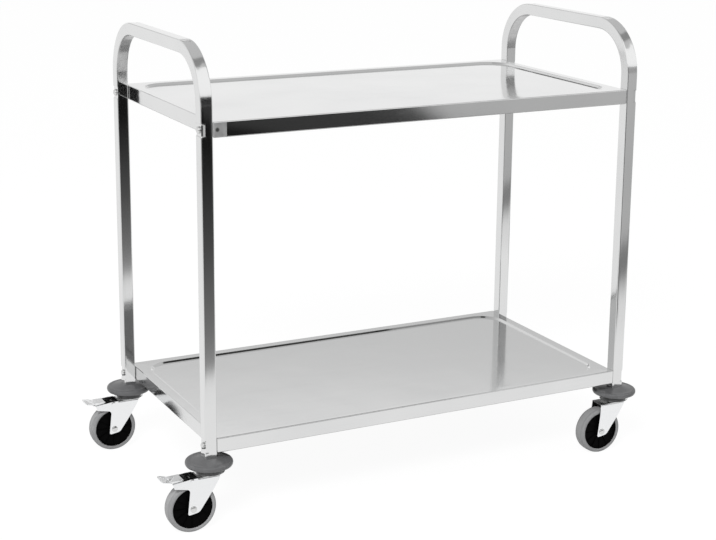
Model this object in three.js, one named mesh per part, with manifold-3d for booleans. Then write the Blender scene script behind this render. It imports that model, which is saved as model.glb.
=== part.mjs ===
// A two-shelf serving trolley of stainless steel on four swivel castors, in millimetres.
// Its length lies along X, its depth along Y, and it stands on the plane Z = 0.
import * as THREE from 'three';
import { mergeVertices } from 'three/addons/utils/BufferGeometryUtils.js';
import Module from 'manifold-3d';

const wasm = await Module();
wasm.setup();

// Clearances
const seatGap = 0.3; // between two pieces that rest on or in each other
const runGap = 1; // between a moving piece and the walls that it passes
const overrun = 5; // how far a cutting body runs past what it cuts

// Frame, over the end hoops
const frameLength = 980;
const frameDepth = 500;
const shelfSpacing = 619; // from rim to rim
const handleRise = 141; // from the upper rim to the top of the handles
const legTail = 10; // leg left below the lower shelf

// Square tube of the end hoops
const tube = 25;
const tubeWall = 1.2;
const tubeCorner = 2.5;
const bendRadius = 100; // at the tube's centre line

// Flat that is pressed into the leg's outer face at each shelf joint
const dentDepth = 2;
const dentHeight = 28;
const dentSlope = 4;

// Shelves
const shelfSheet = 1.2;
const apronHeight = 30;
const hemWidth = 12;
const foldRadius = 2;
const rimWidth = 20;
const panDepth = 4;
const panSlope = 7;
const panCorner = 55;
const panStepShares = [[0, 0], [0.2, 0.08], [0.8, 0.92], [1, 1]]; // of the slope's width and the pan's depth

// Shelf bolts and their nuts
const boltRadius = 3;
const boltHeadRadius = 7;
const boltHeadHeight = 5.5;
const boltHeadEdge = 0.8;
const boltTail = 2;
const nutAcrossFlats = 10;
const nutThickness = 5;

// Wheels
const wheelDiameter = 100;
const tyreWidth = 28;
const tyreThickness = 9;
const coreWidth = 26;
const hubRadius = 10;
const axleRadius = 4;
const axleHeadRadius = 6.5;
const axleHeadHeight = 2.5;
const axleHeadEdge = 0.6;
const axleNutAcrossFlats = 13;
const axleNutThickness = 6.5;
const axleTail = 1;
// Shares of the tyre's thickness and half width, and of the web from hub to seat and the core's half width
const treadShares = [[0.28, 1], [0.72, 0.95], [0.94, 0.75], [1, 0.36]];
const coreFaceShares = [[0.02, 0.86], [0.82, 0.86]];

// Forks
const wheelSideGap = 2;
const wheelTopGap = 10.5;
const forkSheet = 2.5;
const forkBend = 4; // outer radius where the plates turn into the crown
const trail = 40; // from the swivel axis back to the axle
const crownBack = 44;
const crownFront = 24;
const plateFront = 17;
const plateFrontDrop = 5;
const elbowAhead = 39; // of the axle
const elbowRise = 30; // above the axle
const elbowRound = 14;
const tipHalf = 12;
const tipDrop = 12;
const tipRise = 4;
const tipRound = 5;

// Arms of the two braked forks
const armReach = 81;
const armFall = 4.5;
const armEnd = 11;
const armLean = 3;
const armRoot = 21.5;
const armRound = 6;
const crownNotch = 30; // where the crown ends between the arms

// Swivel and stem
const stemRadius = 6;
const stemHeadRadius = 10;
const stemHeadHeight = 5;
const stemTail = 3;
const cupRadius = 31;
const cupHeight = 9.2;
const cupShares = [[0.4, 0], [0.42, 0.6], [0.84, 0.6], [0.93, 0.36], [1, 0.4], [0.87, 0.9], [0.77, 1]];
const bumperRadius = 47;
const bumperHeight = 21.9;
const bumperShares = [[0.5, 0], [0.78, 0.34], [0.94, 0.46], [1, 0.64], [0.97, 0.8], [0.87, 0.88], [0.6, 0.91],
  [0.36, 1]];
const socketHeight = 10;

// Brake
const pinRadius = 2.5;
const pinHeadRadius = 4.5;
const pinHeadHeight = 1.2;
const pivotBack = 41; // from the swivel axis
const pivotDrop = 5; // below the crown's top
const pedalSheet = 2;
const eyeRadius = 6;
const treadReach = 62; // places on the pedal, from its pivot
const treadRise = 9;
const kneeReach = 43;
const kneeRise = 5;
const plateEnd = 18;
const plateRise = 6;
const treadRound = 8;
const flangeReach = 40;
const flangeDrop = 7;
const flangeToe = 2;
const shoeBack = 19.5;
const shoeThickness = 3;
const pedalHoleRadius = 3;
const pedalHoleBack = 45;
const brakeAngle = THREE.MathUtils.degToRad(10); // from rest to the tyre

// Facets
const roundSteps = { wheel: 28, bumper: 24, cup: 20, shaft: 12 };
const bendSteps = 8;
const cornerSteps = 2;
const arcSteps = 3;
const domeSteps = 3;
const panCornerSteps = 6;
const weldTolerance = 0.0001;

// Levels, from the floor up
const wheelRadius = wheelDiameter / 2;
const crownTop = wheelDiameter + wheelTopGap + forkSheet;
const cupBottom = crownTop + seatGap;
const bumperBottom = cupBottom + cupHeight + seatGap;
const legEnd = bumperBottom + bumperHeight + seatGap;
const lowerRim = legEnd + legTail + apronHeight;
const upperRim = lowerRim + shelfSpacing;
const frameHeight = upperRim + handleRise;

// Widths and places that follow
const legX = frameLength / 2 - tube / 2;
const legY = frameDepth / 2 - tube / 2;
const shelfLength = frameLength - 2 * tube - 2 * seatGap;
const forkInside = tyreWidth + 2 * wheelSideGap;
const forkOutside = forkInside + 2 * forkSheet;
const forkHalf = forkOutside / 2;
const axleFace = forkHalf + seatGap;
const seatRadius = wheelRadius - tyreThickness;
const pedalWidth = forkInside - 2 * runGap;
const crownUnder = crownTop - forkSheet;
const pivotX = -pivotBack;
const pivotZ = crownTop - pivotDrop;
const pedalReach = pivotBack + treadReach;
const flatToCorner = 1 / Math.cos(Math.PI / roundSteps.wheel);

const materials = {
  steel: new THREE.MeshStandardMaterial({ color: 0xd2d3d4, roughness: 0.12, metalness: 1 }),
  bright: new THREE.MeshStandardMaterial({ color: 0xdcdddc, roughness: 0.22, metalness: 1 }),
  bumperRubber: new THREE.MeshStandardMaterial({ color: 0x6a6b6c, roughness: 0.6, metalness: 0 }),
  tyreRubber: new THREE.MeshStandardMaterial({ color: 0x8d8e8f, roughness: 0.65, metalness: 0 }),
  blackPlastic: new THREE.MeshStandardMaterial({ color: 0x0c0c0d, roughness: 0.45, metalness: 0 }),
};

// Joins equal corners, drops flat triangles and turns every face outwards.
function weld(geometry) {
  const bare = geometry.clone();
  bare.deleteAttribute('normal');
  bare.deleteAttribute('uv');
  const merged = mergeVertices(bare, weldTolerance);
  const places = merged.attributes.position.array;
  const kept = [];
  let volume = 0;
  for (let i = 0; i < merged.index.count; i += 3) {
    const [a, b, c] = [0, 1, 2].map((k) => merged.index.getX(i + k));
    if (a === b || b === c || c === a) continue;
    kept.push([a, b, c]);
    const [p, q, r] = [a, b, c].map((k) => new THREE.Vector3().fromArray(places, 3 * k));
    volume += p.dot(q.cross(r));
  }
  const turned = volume < 0 ? kept.map(([a, b, c]) => [a, c, b]) : kept;
  return { vertProperties: new Float32Array(places), triVerts: new Uint32Array(turned.flat()) };
}

function solid(geometry) {
  return new wasm.Manifold(new wasm.Mesh({ numProp: 3, ...weld(geometry) }));
}

// Extrudes an outline to both sides of its own plane: 'x', 'y' or 'z' names the direction of the extrusion.
// The outline's own axes are then (y, z), (x, z) or (x, y).
function prism(shape, span, direction, middle = 0, curveSegments = arcSteps) {
  const geometry = new THREE.ExtrudeGeometry(shape, { depth: span, bevelEnabled: false, curveSegments });
  geometry.translate(0, 0, -span / 2);
  const axes = {
    x: [new THREE.Vector3(0, 1, 0), new THREE.Vector3(0, 0, 1), new THREE.Vector3(1, 0, 0)],
    y: [new THREE.Vector3(1, 0, 0), new THREE.Vector3(0, 0, 1), new THREE.Vector3(0, -1, 0)],
    z: [new THREE.Vector3(1, 0, 0), new THREE.Vector3(0, 1, 0), new THREE.Vector3(0, 0, 1)],
  }[direction];
  geometry.applyMatrix4(new THREE.Matrix4().makeBasis(...axes));
  const shift = { x: [middle, 0, 0], y: [0, middle, 0], z: [0, 0, middle] }[direction];
  return solid(geometry.translate(...shift));
}

function block(low, high) {
  const size = high.map((value, i) => value - low[i]);
  const geometry = new THREE.BoxGeometry(...size);
  return solid(geometry.translate(...high.map((value, i) => (value + low[i]) / 2)));
}

// Revolves a profile of [radius, place along the axis] about an axis: 'x', 'y' or 'z'.
function revolve(profile, steps, direction, start = 0) {
  const geometry = new THREE.LatheGeometry(profile.map(([r, h]) => new THREE.Vector2(r, h)), steps, start);
  if (direction === 'x') geometry.rotateZ(-Math.PI / 2);
  if (direction === 'z') geometry.rotateX(Math.PI / 2);
  return solid(geometry);
}

function ring(profile, steps, direction, start = 0) {
  return revolve([...profile, profile[0]], steps, direction, start);
}

function rod(radius, from, to, direction) {
  return revolve([[0, from], [radius, from], [radius, to], [0, to]], roundSteps.shaft, direction);
}

// A closed outline through corners [x, y, rounding], each corner cut back by its rounding.
function outline(corners) {
  const points = corners.map(([x, y]) => new THREE.Vector2(x, y));
  const shape = new THREE.Shape();
  corners.forEach(([, , rounding = 0], i) => {
    const here = points[i];
    const before = points[(i + points.length - 1) % points.length];
    const after = points[(i + 1) % points.length];
    const start = here.clone().add(before.clone().sub(here).setLength(rounding));
    const end = here.clone().add(after.clone().sub(here).setLength(rounding));
    if (i === 0) shape.moveTo(start.x, start.y);
    else shape.lineTo(start.x, start.y);
    if (rounding > 0) shape.quadraticCurveTo(here.x, here.y, end.x, end.y);
  });
  shape.closePath();
  return shape;
}

// The points of a rectangle with round corners, centred on zero.
function roundedPoints(width, height, radius, steps) {
  const centres = [[1, 1], [-1, 1], [-1, -1], [1, -1]];
  return centres.flatMap(([sx, sy], corner) => Array.from({ length: steps + 1 }, (_, i) => {
    const angle = (corner + i / steps) * Math.PI / 2;
    const x = sx * (width / 2 - radius) + radius * Math.cos(angle);
    const y = sy * (height / 2 - radius) + radius * Math.sin(angle);
    return new THREE.Vector2(x, y);
  }));
}

// Skins a row of rings that have equal counts of points, and closes both ends.
function skin(rings, section) {
  const triangles = [];
  for (let i = 0; i + 1 < rings.length; i += 1) {
    for (let k = 0; k < section.length; k += 1) {
      const next = (k + 1) % section.length;
      triangles.push(rings[i][k], rings[i][next], rings[i + 1][next]);
      triangles.push(rings[i][k], rings[i + 1][next], rings[i + 1][k]);
    }
  }
  for (const [a, b, c] of THREE.ShapeUtils.triangulateShape(section, [])) {
    triangles.push(rings[0][a], rings[0][c], rings[0][b]);
    const last = rings[rings.length - 1];
    triangles.push(last[a], last[b], last[c]);
  }
  return solid(new THREE.BufferGeometry().setFromPoints(triangles));
}

// Sweeps a section of the tube up one leg, over the handle and down the other leg.
function hoopSweep(section, bottom) {
  const stations = [{ y: -legY, z: bottom, angle: 0 }];
  for (const side of [-1, 1]) {
    for (let i = 0; i <= bendSteps; i += 1) {
      const angle = (i / bendSteps + (side > 0 ? 1 : 0)) * Math.PI / 2;
      const y = side * (legY - bendRadius) - bendRadius * Math.cos(angle);
      const z = frameHeight - tube / 2 - bendRadius + bendRadius * Math.sin(angle);
      stations.push({ y, z, angle });
    }
  }
  stations.push({ y: legY, z: bottom, angle: Math.PI });
  const rings = stations.map(({ y, z, angle }) => section.map((p) => new THREE.Vector3(
    p.x, y - p.y * Math.cos(angle), z + p.y * Math.sin(angle),
  )));
  return skin(rings, section);
}

// The body that presses the flat into the leg's outer face, grown by a margin for the inner wall.
function dent(y, z, margin) {
  const face = -tube / 2;
  const high = dentHeight / 2 + margin / 2;
  const low = high - dentSlope;
  const corners = [[face - overrun, -high], [face + margin, -high], [face + margin + dentDepth, -low],
    [face + margin + dentDepth, low], [face + margin, high], [face - overrun, high]];
  return prism(outline(corners), tube + 2 * overrun, 'y', y).translate(0, 0, z);
}

// One end hoop, its outer face towards -X.
function endHoop() {
  const inner = tube - 2 * tubeWall;
  let outside = hoopSweep(roundedPoints(tube, tube, tubeCorner, cornerSteps), legEnd);
  let inside = hoopSweep(roundedPoints(inner, inner, tubeCorner - tubeWall, 1), legEnd - overrun);
  let holes = null;
  for (const y of [-legY, legY]) {
    for (const rim of [lowerRim, upperRim]) {
      const z = rim - apronHeight / 2;
      outside = outside.subtract(dent(y, z, 0));
      inside = inside.subtract(dent(y, z, tubeWall));
      const hole = rod(boltRadius + seatGap, -tube, tube, 'x').translate(0, y, z);
      holes = holes ? holes.add(hole) : hole;
    }
  }
  return outside.subtract(inside).subtract(holes);
}

// The space of the sunk pan, or with a margin the space under its sheet.
function panSpace(margin) {
  const section = (inset) => roundedPoints(
    shelfLength - 2 * (rimWidth + inset - margin),
    frameDepth - 2 * (rimWidth + inset - margin),
    panCorner - inset + margin,
    panCornerSteps,
  );
  const level = (inset, z) => section(inset).map((p) => new THREE.Vector3(p.x, p.y, z));
  const rings = [level(0, overrun)];
  for (const [across, down] of panStepShares) rings.push(level(across * panSlope, -down * panDepth - margin));
  return skin(rings.reverse(), section(0));
}

// One shelf, its rim at Z = 0: a tray folded down on four sides and hemmed inwards.
function shelf() {
  const plate = (inset, low, high) => prism(
    new THREE.Shape(roundedPoints(shelfLength - 2 * inset, frameDepth - 2 * inset, foldRadius, cornerSteps)),
    high - low,
    'z',
    (low + high) / 2,
  );
  const outside = plate(0, -apronHeight, 0).subtract(panSpace(0));
  const hollow = plate(shelfSheet, shelfSheet - apronHeight, -shelfSheet).subtract(panSpace(shelfSheet));
  const mouth = plate(shelfSheet + hemWidth, -apronHeight - overrun, 2 * shelfSheet - apronHeight);
  let tray = outside.subtract(hollow).subtract(mouth);
  for (const y of [-legY, legY]) {
    const reach = shelfLength / 2 + overrun;
    const hole = rod(boltRadius + seatGap, -reach, reach, 'x').translate(0, y, -apronHeight / 2);
    tray = tray.subtract(hole);
  }
  return tray;
}

// The half profile of a round head, from its crown on the axis to its edge.
function dome(radius, height, edge, base) {
  return Array.from({ length: domeSteps + 1 }, (_, i) => {
    const angle = (i / domeSteps) * Math.PI / 2;
    return [radius * Math.sin(angle), base - edge - (height - edge) * Math.cos(angle)];
  });
}

// Places along a shelf bolt, from the leg's outer face inwards.
const boltSeat = dentDepth - seatGap;
const shelfNutFace = tube + seatGap + shelfSheet + seatGap;
const boltEnd = shelfNutFace + nutThickness + boltTail;

function shelfBolt() {
  const head = dome(boltHeadRadius, boltHeadHeight, boltHeadEdge, boltSeat);
  const shank = [[boltHeadRadius, boltSeat], [boltRadius, boltSeat], [boltRadius, boltEnd], [0, boltEnd]];
  return revolve([...head, ...shank], roundSteps.shaft, 'x');
}

// A hexagon nut with its near face at `face` along 'x' or 'y'.
function nut(acrossFlats, thickness, bore, direction, face) {
  const corner = acrossFlats / Math.sqrt(3);
  const shape = new THREE.Shape(Array.from({ length: 6 }, (_, i) => new THREE.Vector2(
    corner * Math.cos(i * Math.PI / 3), corner * Math.sin(i * Math.PI / 3),
  )));
  const body = prism(shape, thickness, direction, face + thickness / 2);
  return body.subtract(rod(bore, face - overrun, face + thickness + overrun, direction));
}

const plateShape = outline([
  [-crownBack, crownTop],
  [-trail - tipHalf, wheelRadius - tipDrop, tipRound],
  [-trail + tipHalf, wheelRadius - tipDrop + tipRise, tipRound],
  [-trail + elbowAhead, wheelRadius + elbowRise, elbowRound],
  [plateFront, crownTop - plateFrontDrop],
  [crownFront + overrun, crownUnder],
  [crownFront + overrun, crownTop],
]);

// The back edge of the fork's plates at a height.
function plateBackAt(z) {
  const tip = wheelRadius - tipDrop;
  return -crownBack - (trail + tipHalf - crownBack) * (crownTop - z) / (crownTop - tip);
}

// The folded sheet across the fork: two plates and the crown, bent round at the top.
function forkSection() {
  const bottom = wheelRadius - tipDrop - overrun;
  const shoulder = crownTop - forkBend;
  const bendY = forkHalf - forkBend;
  const shape = new THREE.Shape();
  shape.moveTo(forkHalf, bottom);
  shape.lineTo(forkHalf, shoulder);
  shape.absarc(bendY, shoulder, forkBend, 0, Math.PI / 2, false);
  shape.absarc(-bendY, shoulder, forkBend, Math.PI / 2, Math.PI, false);
  shape.lineTo(-forkHalf, bottom);
  shape.lineTo(-forkInside / 2, bottom);
  shape.absarc(-bendY, shoulder, forkBend - forkSheet, Math.PI, Math.PI / 2, true);
  shape.absarc(bendY, shoulder, forkBend - forkSheet, Math.PI / 2, 0, true);
  shape.lineTo(forkInside / 2, bottom);
  return shape;
}

function forkArm(side) {
  const root = crownTop - armRoot;
  const rootX = plateBackAt(root);
  const inside = tipHalf - crownBack;
  const shape = outline([
    [-crownBack, crownTop],
    [-armReach, crownTop - armFall],
    [-armReach + armLean, crownTop - armFall - armEnd],
    [rootX, root, armRound],
    [rootX, root - 2 * armRound],
    [inside, root - 2 * armRound],
    [inside, crownTop - 2 * forkBend],
    [-crownBack, crownTop - forkBend],
  ]);
  return prism(shape, forkSheet, 'y', side * (forkInside + forkSheet) / 2);
}

function fork(braked) {
  const span = crownBack + crownFront + 2 * overrun;
  const middle = (crownFront - crownBack) / 2 - tipHalf;
  const reach = armReach + overrun;
  const plan = new THREE.Shape();
  plan.moveTo(-reach, -crownFront);
  plan.lineTo(0, -crownFront);
  plan.absarc(0, 0, crownFront, -Math.PI / 2, Math.PI / 2, false);
  plan.lineTo(-reach, crownFront);
  let body = prism(forkSection(), span + 2 * tipHalf, 'x', middle)
    .intersect(prism(plateShape, 2 * crownFront, 'y'))
    .intersect(prism(plan, 2 * crownTop, 'z', crownTop, roundSteps.shaft));
  if (braked) {
    const notch = block(
      [-reach, -forkInside / 2, crownTop - 2 * forkBend],
      [-crownNotch, forkInside / 2, crownTop + overrun],
    );
    body = body.subtract(notch).add(forkArm(-1)).add(forkArm(1));
    const pivot = rod(pinRadius + seatGap, -forkOutside, forkOutside, 'y').translate(pivotX, 0, pivotZ);
    body = body.subtract(pivot);
  }
  const axleHole = rod(axleRadius + seatGap, -forkOutside, forkOutside, 'y');
  const stemHole = rod(stemRadius + seatGap, crownUnder - overrun, crownTop + overrun, 'z');
  return body.subtract(axleHole.translate(-trail, 0, wheelRadius)).subtract(stemHole);
}

function kingBolt() {
  const top = legEnd + socketHeight + stemTail;
  const headTop = crownUnder - seatGap;
  const headBottom = headTop - stemHeadHeight;
  const head = [[0, headBottom], [stemHeadRadius, headBottom], [stemHeadRadius, headTop]];
  return revolve([...head, [stemRadius, headTop], [stemRadius, top], [0, top]], roundSteps.shaft, 'z');
}

// A round piece on the stem, from a table of shares of its radius and height.
function stemRing(shares, radius, height, bottom, steps) {
  const bore = stemRadius + seatGap;
  const profile = shares.map(([across, up]) => [across * radius, bottom + up * height]);
  return ring([[bore, bottom], ...profile, [bore, bottom + height]], steps, 'z');
}

function bumper() {
  return stemRing(bumperShares, bumperRadius, bumperHeight, bumperBottom, roundSteps.bumper);
}

function swivelCup() {
  return stemRing(cupShares, cupRadius, cupHeight, cupBottom, roundSteps.cup);
}

function socketPlate() {
  const width = tube - 2 * tubeWall - 2 * seatGap;
  const corner = tubeCorner - tubeWall;
  const shape = new THREE.Shape(roundedPoints(width, width, corner, 1));
  const plate = prism(shape, socketHeight, 'z', legEnd + socketHeight / 2);
  return plate.subtract(rod(stemRadius + seatGap, legEnd - overrun, legEnd + socketHeight + overrun, 'z'));
}

// A profile that is the same on both sides of the wheel's middle plane, from its outer half.
function bothSides(half) {
  return [...half.map(([r, y]) => [r, -y]), ...half.slice().reverse()];
}

// A ring about the axle. Its flats lie at the profile's radii, and it stands on one of them.
function wheelRing(half) {
  const profile = bothSides(half).map(([r, y]) => [r * flatToCorner, y]);
  const start = Math.PI / roundSteps.wheel;
  return ring(profile, roundSteps.wheel, 'y', start).translate(-trail, 0, wheelRadius);
}

function wheelCore() {
  const bore = axleRadius + seatGap;
  const rimRadius = seatRadius - seatGap;
  const hubHalf = forkInside / 2 - seatGap;
  const web = rimRadius - hubRadius;
  const face = coreFaceShares.map(([across, out]) => [hubRadius + across * web, out * coreWidth / 2]);
  return wheelRing([[bore, hubHalf], [hubRadius, hubHalf], ...face, [rimRadius, coreWidth / 2]]);
}

function tyre() {
  const tread = treadShares.map(([up, out]) => [seatRadius + up * tyreThickness, out * tyreWidth / 2]);
  return wheelRing([[seatRadius, coreWidth / 2], ...tread]);
}

function axleBolt() {
  const head = dome(axleHeadRadius, axleHeadHeight, axleHeadEdge, -axleFace);
  const end = axleFace + axleNutThickness + axleTail;
  const shank = [[axleHeadRadius, -axleFace], [axleRadius, -axleFace], [axleRadius, end], [0, end]];
  return revolve([...head, ...shank], roundSteps.shaft, 'y').translate(-trail, 0, wheelRadius);
}

function axleNut() {
  const body = nut(axleNutAcrossFlats, axleNutThickness, axleRadius + seatGap, 'y', axleFace);
  return body.translate(-trail, 0, wheelRadius);
}

function brakePin() {
  const end = axleFace + pinHeadHeight;
  const half = [[0, end], [pinHeadRadius, end], [pinHeadRadius, axleFace], [pinRadius, axleFace]];
  return revolve(bothSides(half), roundSteps.shaft, 'y').translate(pivotX, 0, pivotZ);
}

// How far the shoe hangs below the pivot, so that it just meets the tyre when the pedal is pressed.
function shoeDrop() {
  const axle = new THREE.Vector2(pivotBack - trail, wheelRadius - pivotZ);
  axle.rotateAround(new THREE.Vector2(), -brakeAngle);
  const reach = wheelRadius * flatToCorner + seatGap;
  return -axle.y - Math.sqrt(reach ** 2 - (shoeBack + axle.x) ** 2);
}

// The brake pedal about its own pivot: a tread plate, two flanges with eyes, and a shoe over the tyre.
function brakePedal() {
  const plateSide = outline([[-treadReach, treadRise], [-treadReach, treadRise - pedalSheet],
    [-kneeReach, kneeRise - pedalSheet], [-plateEnd, plateRise - pedalSheet], [-plateEnd, plateRise],
    [-kneeReach, kneeRise]]);
  const wide = forkHalf;
  const narrow = pedalWidth / 2;
  const platePlan = outline([[-treadReach, -wide, treadRound], [-kneeReach, -wide], [-kneeReach, -narrow],
    [-plateEnd, -narrow], [-plateEnd, narrow], [-kneeReach, narrow], [-kneeReach, wide],
    [-treadReach, wide, treadRound]]);
  const plate = prism(plateSide, forkOutside + 2 * overrun, 'y')
    .intersect(prism(platePlan, 2 * treadReach, 'z'));
  const flangeTop = [[0, eyeRadius], [-plateEnd, plateRise - pedalSheet / 2]];
  const flangeFoot = [[-flangeReach, -flangeToe], [-plateEnd, -flangeDrop], [0, -eyeRadius]];
  const flangeSide = outline([[-flangeReach, kneeRise - pedalSheet / 2], ...flangeFoot, ...flangeTop]);
  const inner = narrow - pedalSheet;
  const flanges = prism(flangeSide, pedalWidth, 'y')
    .add(rod(eyeRadius, -narrow, narrow, 'y'))
    .subtract(block([-treadReach, -inner, -treadReach], [treadReach, inner, treadReach]));
  const shoe = block(
    [-shoeBack - shoeThickness, -inner - pedalSheet / 2, -shoeDrop()],
    [-shoeBack, inner + pedalSheet / 2, plateRise - pedalSheet / 2],
  );
  const hole = rod(pedalHoleRadius, -treadReach, treadReach, 'z').translate(-pedalHoleBack, 0, 0);
  const bore = rod(pinRadius + seatGap, -forkOutside, forkOutside, 'y');
  return plate.add(flanges).add(shoe).subtract(hole).subtract(bore);
}

function mesh(name, body, material) {
  const { vertProperties, triVerts } = body.getMesh();
  const geometry = new THREE.BufferGeometry();
  geometry.setAttribute('position', new THREE.BufferAttribute(new Float32Array(vertProperties), 3));
  geometry.setIndex(Array.from(triVerts));
  geometry.computeVertexNormals();
  const piece = new THREE.Mesh(geometry, materials[material]);
  piece.name = name;
  return piece;
}

const ends = [{ name: 'left', sign: -1, turn: 0 }, { name: 'right', sign: 1, turn: Math.PI }];
const rows = [{ name: 'front', sign: -1 }, { name: 'rear', sign: 1 }];
const shelves = [{ name: 'upper', rim: upperRim }, { name: 'lower', rim: lowerRim }];

// The middle of everything over its length, so that the origin is under the middle of the whole.
const trolley = new THREE.Group();
trolley.position.x = (pedalReach - bumperRadius) / 2;

const hoopBody = endHoop();
for (const end of ends) {
  const hoop = mesh(`end_hoop_${end.name}`, hoopBody, 'steel');
  hoop.position.x = end.sign * legX;
  hoop.rotation.z = end.turn;
  trolley.add(hoop);
}

const shelfBody = shelf();
for (const { name, rim } of shelves) {
  const tray = mesh(`shelf_${name}`, shelfBody, 'steel');
  tray.position.z = rim;
  trolley.add(tray);
}

const boltBody = shelfBolt();
const shelfNutBody = nut(nutAcrossFlats, nutThickness, boltRadius + seatGap, 'x', shelfNutFace);
for (const { name, rim } of shelves) {
  for (const end of ends) {
    for (const row of rows) {
      const joint = new THREE.Group();
      joint.position.set(end.sign * frameLength / 2, row.sign * legY, rim - apronHeight / 2);
      joint.rotation.z = end.turn;
      joint.add(mesh(`shelf_bolt_${name}_${row.name}_${end.name}`, boltBody, 'bright'));
      joint.add(mesh(`shelf_nut_${name}_${row.name}_${end.name}`, shelfNutBody, 'bright'));
      trolley.add(joint);
    }
  }
}

const castorPieces = [
  ['socket_plate', socketPlate(), 'bright'],
  ['king_bolt', kingBolt(), 'bright'],
  ['bumper', bumper(), 'bumperRubber'],
  ['swivel_cup', swivelCup(), 'bright'],
  ['wheel_core', wheelCore(), 'blackPlastic'],
  ['tyre', tyre(), 'tyreRubber'],
  ['axle_bolt', axleBolt(), 'bright'],
  ['axle_nut', axleNut(), 'bright'],
];
const plainFork = fork(false);
const brakedFork = fork(true);
const pedalBody = brakePedal();
const pinBody = brakePin();
for (const end of ends) {
  for (const row of rows) {
    const place = `${row.name}_${end.name}`;
    const braked = end.name === 'left';
    const castor = new THREE.Group();
    castor.position.set(end.sign * legX, row.sign * legY, 0);
    for (const [name, body, material] of castorPieces) castor.add(mesh(`${name}_${place}`, body, material));
    castor.add(mesh(`fork_${place}`, braked ? brakedFork : plainFork, 'bright'));
    if (braked) {
      const pedal = mesh(`brake_pedal_${place}`, pedalBody, 'bright');
      pedal.position.set(pivotX, 0, pivotZ);
      castor.add(pedal, mesh(`brake_pin_${place}`, pinBody, 'bright'));
    }
    trolley.add(castor);
  }
}

const model = new THREE.Group();
model.add(trolley);

export default model;
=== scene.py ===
# The looks of a two-shelf stainless serving trolley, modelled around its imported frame. Metres, Z up.
import math

import bmesh
import bpy
from mathutils import Matrix, Vector


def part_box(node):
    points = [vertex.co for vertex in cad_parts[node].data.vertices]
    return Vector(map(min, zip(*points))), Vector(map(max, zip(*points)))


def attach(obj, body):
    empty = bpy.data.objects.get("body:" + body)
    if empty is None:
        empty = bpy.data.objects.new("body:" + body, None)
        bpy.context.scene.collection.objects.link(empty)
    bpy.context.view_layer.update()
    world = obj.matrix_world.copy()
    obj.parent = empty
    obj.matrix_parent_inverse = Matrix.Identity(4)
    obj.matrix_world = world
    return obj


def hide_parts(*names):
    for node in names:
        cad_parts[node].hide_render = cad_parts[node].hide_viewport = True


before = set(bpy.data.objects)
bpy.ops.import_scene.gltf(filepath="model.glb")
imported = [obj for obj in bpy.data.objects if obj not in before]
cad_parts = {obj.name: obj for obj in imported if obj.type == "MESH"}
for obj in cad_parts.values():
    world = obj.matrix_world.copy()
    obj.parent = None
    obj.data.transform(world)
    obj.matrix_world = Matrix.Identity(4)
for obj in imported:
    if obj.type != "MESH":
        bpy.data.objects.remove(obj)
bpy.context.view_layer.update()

mm = 0.001
near = 0.05 * mm  # places this close count as one
together = 0.01 * mm  # points this close are merged
cornerSteps = 5  # of an outline's rounded corner
ends = ("left", "right")
rows = ("front", "rear")
shelves = ("upper", "lower")
print("frame loaded:", len(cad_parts), "nodes")


# Editing helpers

def clearSelection():
    if bpy.context.mode != "OBJECT":
        bpy.ops.object.mode_set(mode="OBJECT")
    bpy.ops.object.select_all(action="DESELECT")


def openPrimitive(addPrimitive, **settings):  # a new primitive, its place baked in, open for editing
    clearSelection()
    addPrimitive(**settings)
    piece = bpy.context.object
    bpy.ops.object.transform_apply(location=True, rotation=True, scale=True)
    bpy.ops.object.mode_set(mode="EDIT")
    bpy.ops.mesh.select_mode(type="VERT")
    bpy.ops.mesh.select_all(action="SELECT")
    return piece


def pick(kind, test):  # selects what passes a test of its place and its direction or normal
    bpy.ops.mesh.select_mode(type=kind)
    bpy.ops.mesh.select_all(action="DESELECT")
    mesh = bpy.context.edit_object.data
    form = bmesh.from_edit_mesh(mesh)
    for item in {"VERT": form.verts, "EDGE": form.edges, "FACE": form.faces}[kind]:
        if kind == "VERT":
            place, heading = item.co, item.normal
        elif kind == "EDGE":
            place = (item.verts[0].co + item.verts[1].co) / 2
            heading = item.verts[1].co - item.verts[0].co
        else:
            place, heading = item.calc_center_median(), item.normal
        if test(place, heading):
            item.select_set(True)
    form.select_flush_mode()
    bmesh.update_edit_mesh(mesh)


def pickOpenEdges():
    bpy.ops.mesh.select_mode(type="EDGE")
    bpy.ops.mesh.select_all(action="DESELECT")
    bpy.ops.mesh.select_non_manifold()


def extrudeEdges(x=0, y=0, z=0):
    bpy.ops.mesh.extrude_edges_move(TRANSFORM_OT_translate={"value": (x, y, z)})


def closeEdit():  # merges doubles, turns the faces outwards and leaves edit mode
    bpy.ops.mesh.select_all(action="SELECT")
    bpy.ops.mesh.remove_doubles(threshold=together)
    bpy.ops.mesh.select_all(action="SELECT")
    bpy.ops.mesh.normals_make_consistent(inside=False)
    bpy.ops.object.mode_set(mode="OBJECT")


def modify(piece, kind, **settings):  # adds a modifier and applies it
    modifier = piece.modifiers.new(kind.title(), kind)
    for name, value in settings.items():
        setattr(modifier, name, value)
    clearSelection()
    piece.select_set(True)
    bpy.context.view_layer.objects.active = piece
    bpy.ops.object.modifier_apply(modifier=modifier.name)


def softenEdges(piece, width, segments=2, angle=35):
    limit = {"limit_method": "ANGLE", "angle_limit": math.radians(angle)}
    modify(piece, "BEVEL", width=width, segments=segments, **limit)


def smooth(piece, angle=40, weighted=True):
    clearSelection()
    piece.select_set(True)
    bpy.context.view_layer.objects.active = piece
    bpy.ops.object.shade_smooth_by_angle(angle=math.radians(angle))
    if weighted:
        modify(piece, "WEIGHTED_NORMAL", keep_sharp=True)


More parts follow.
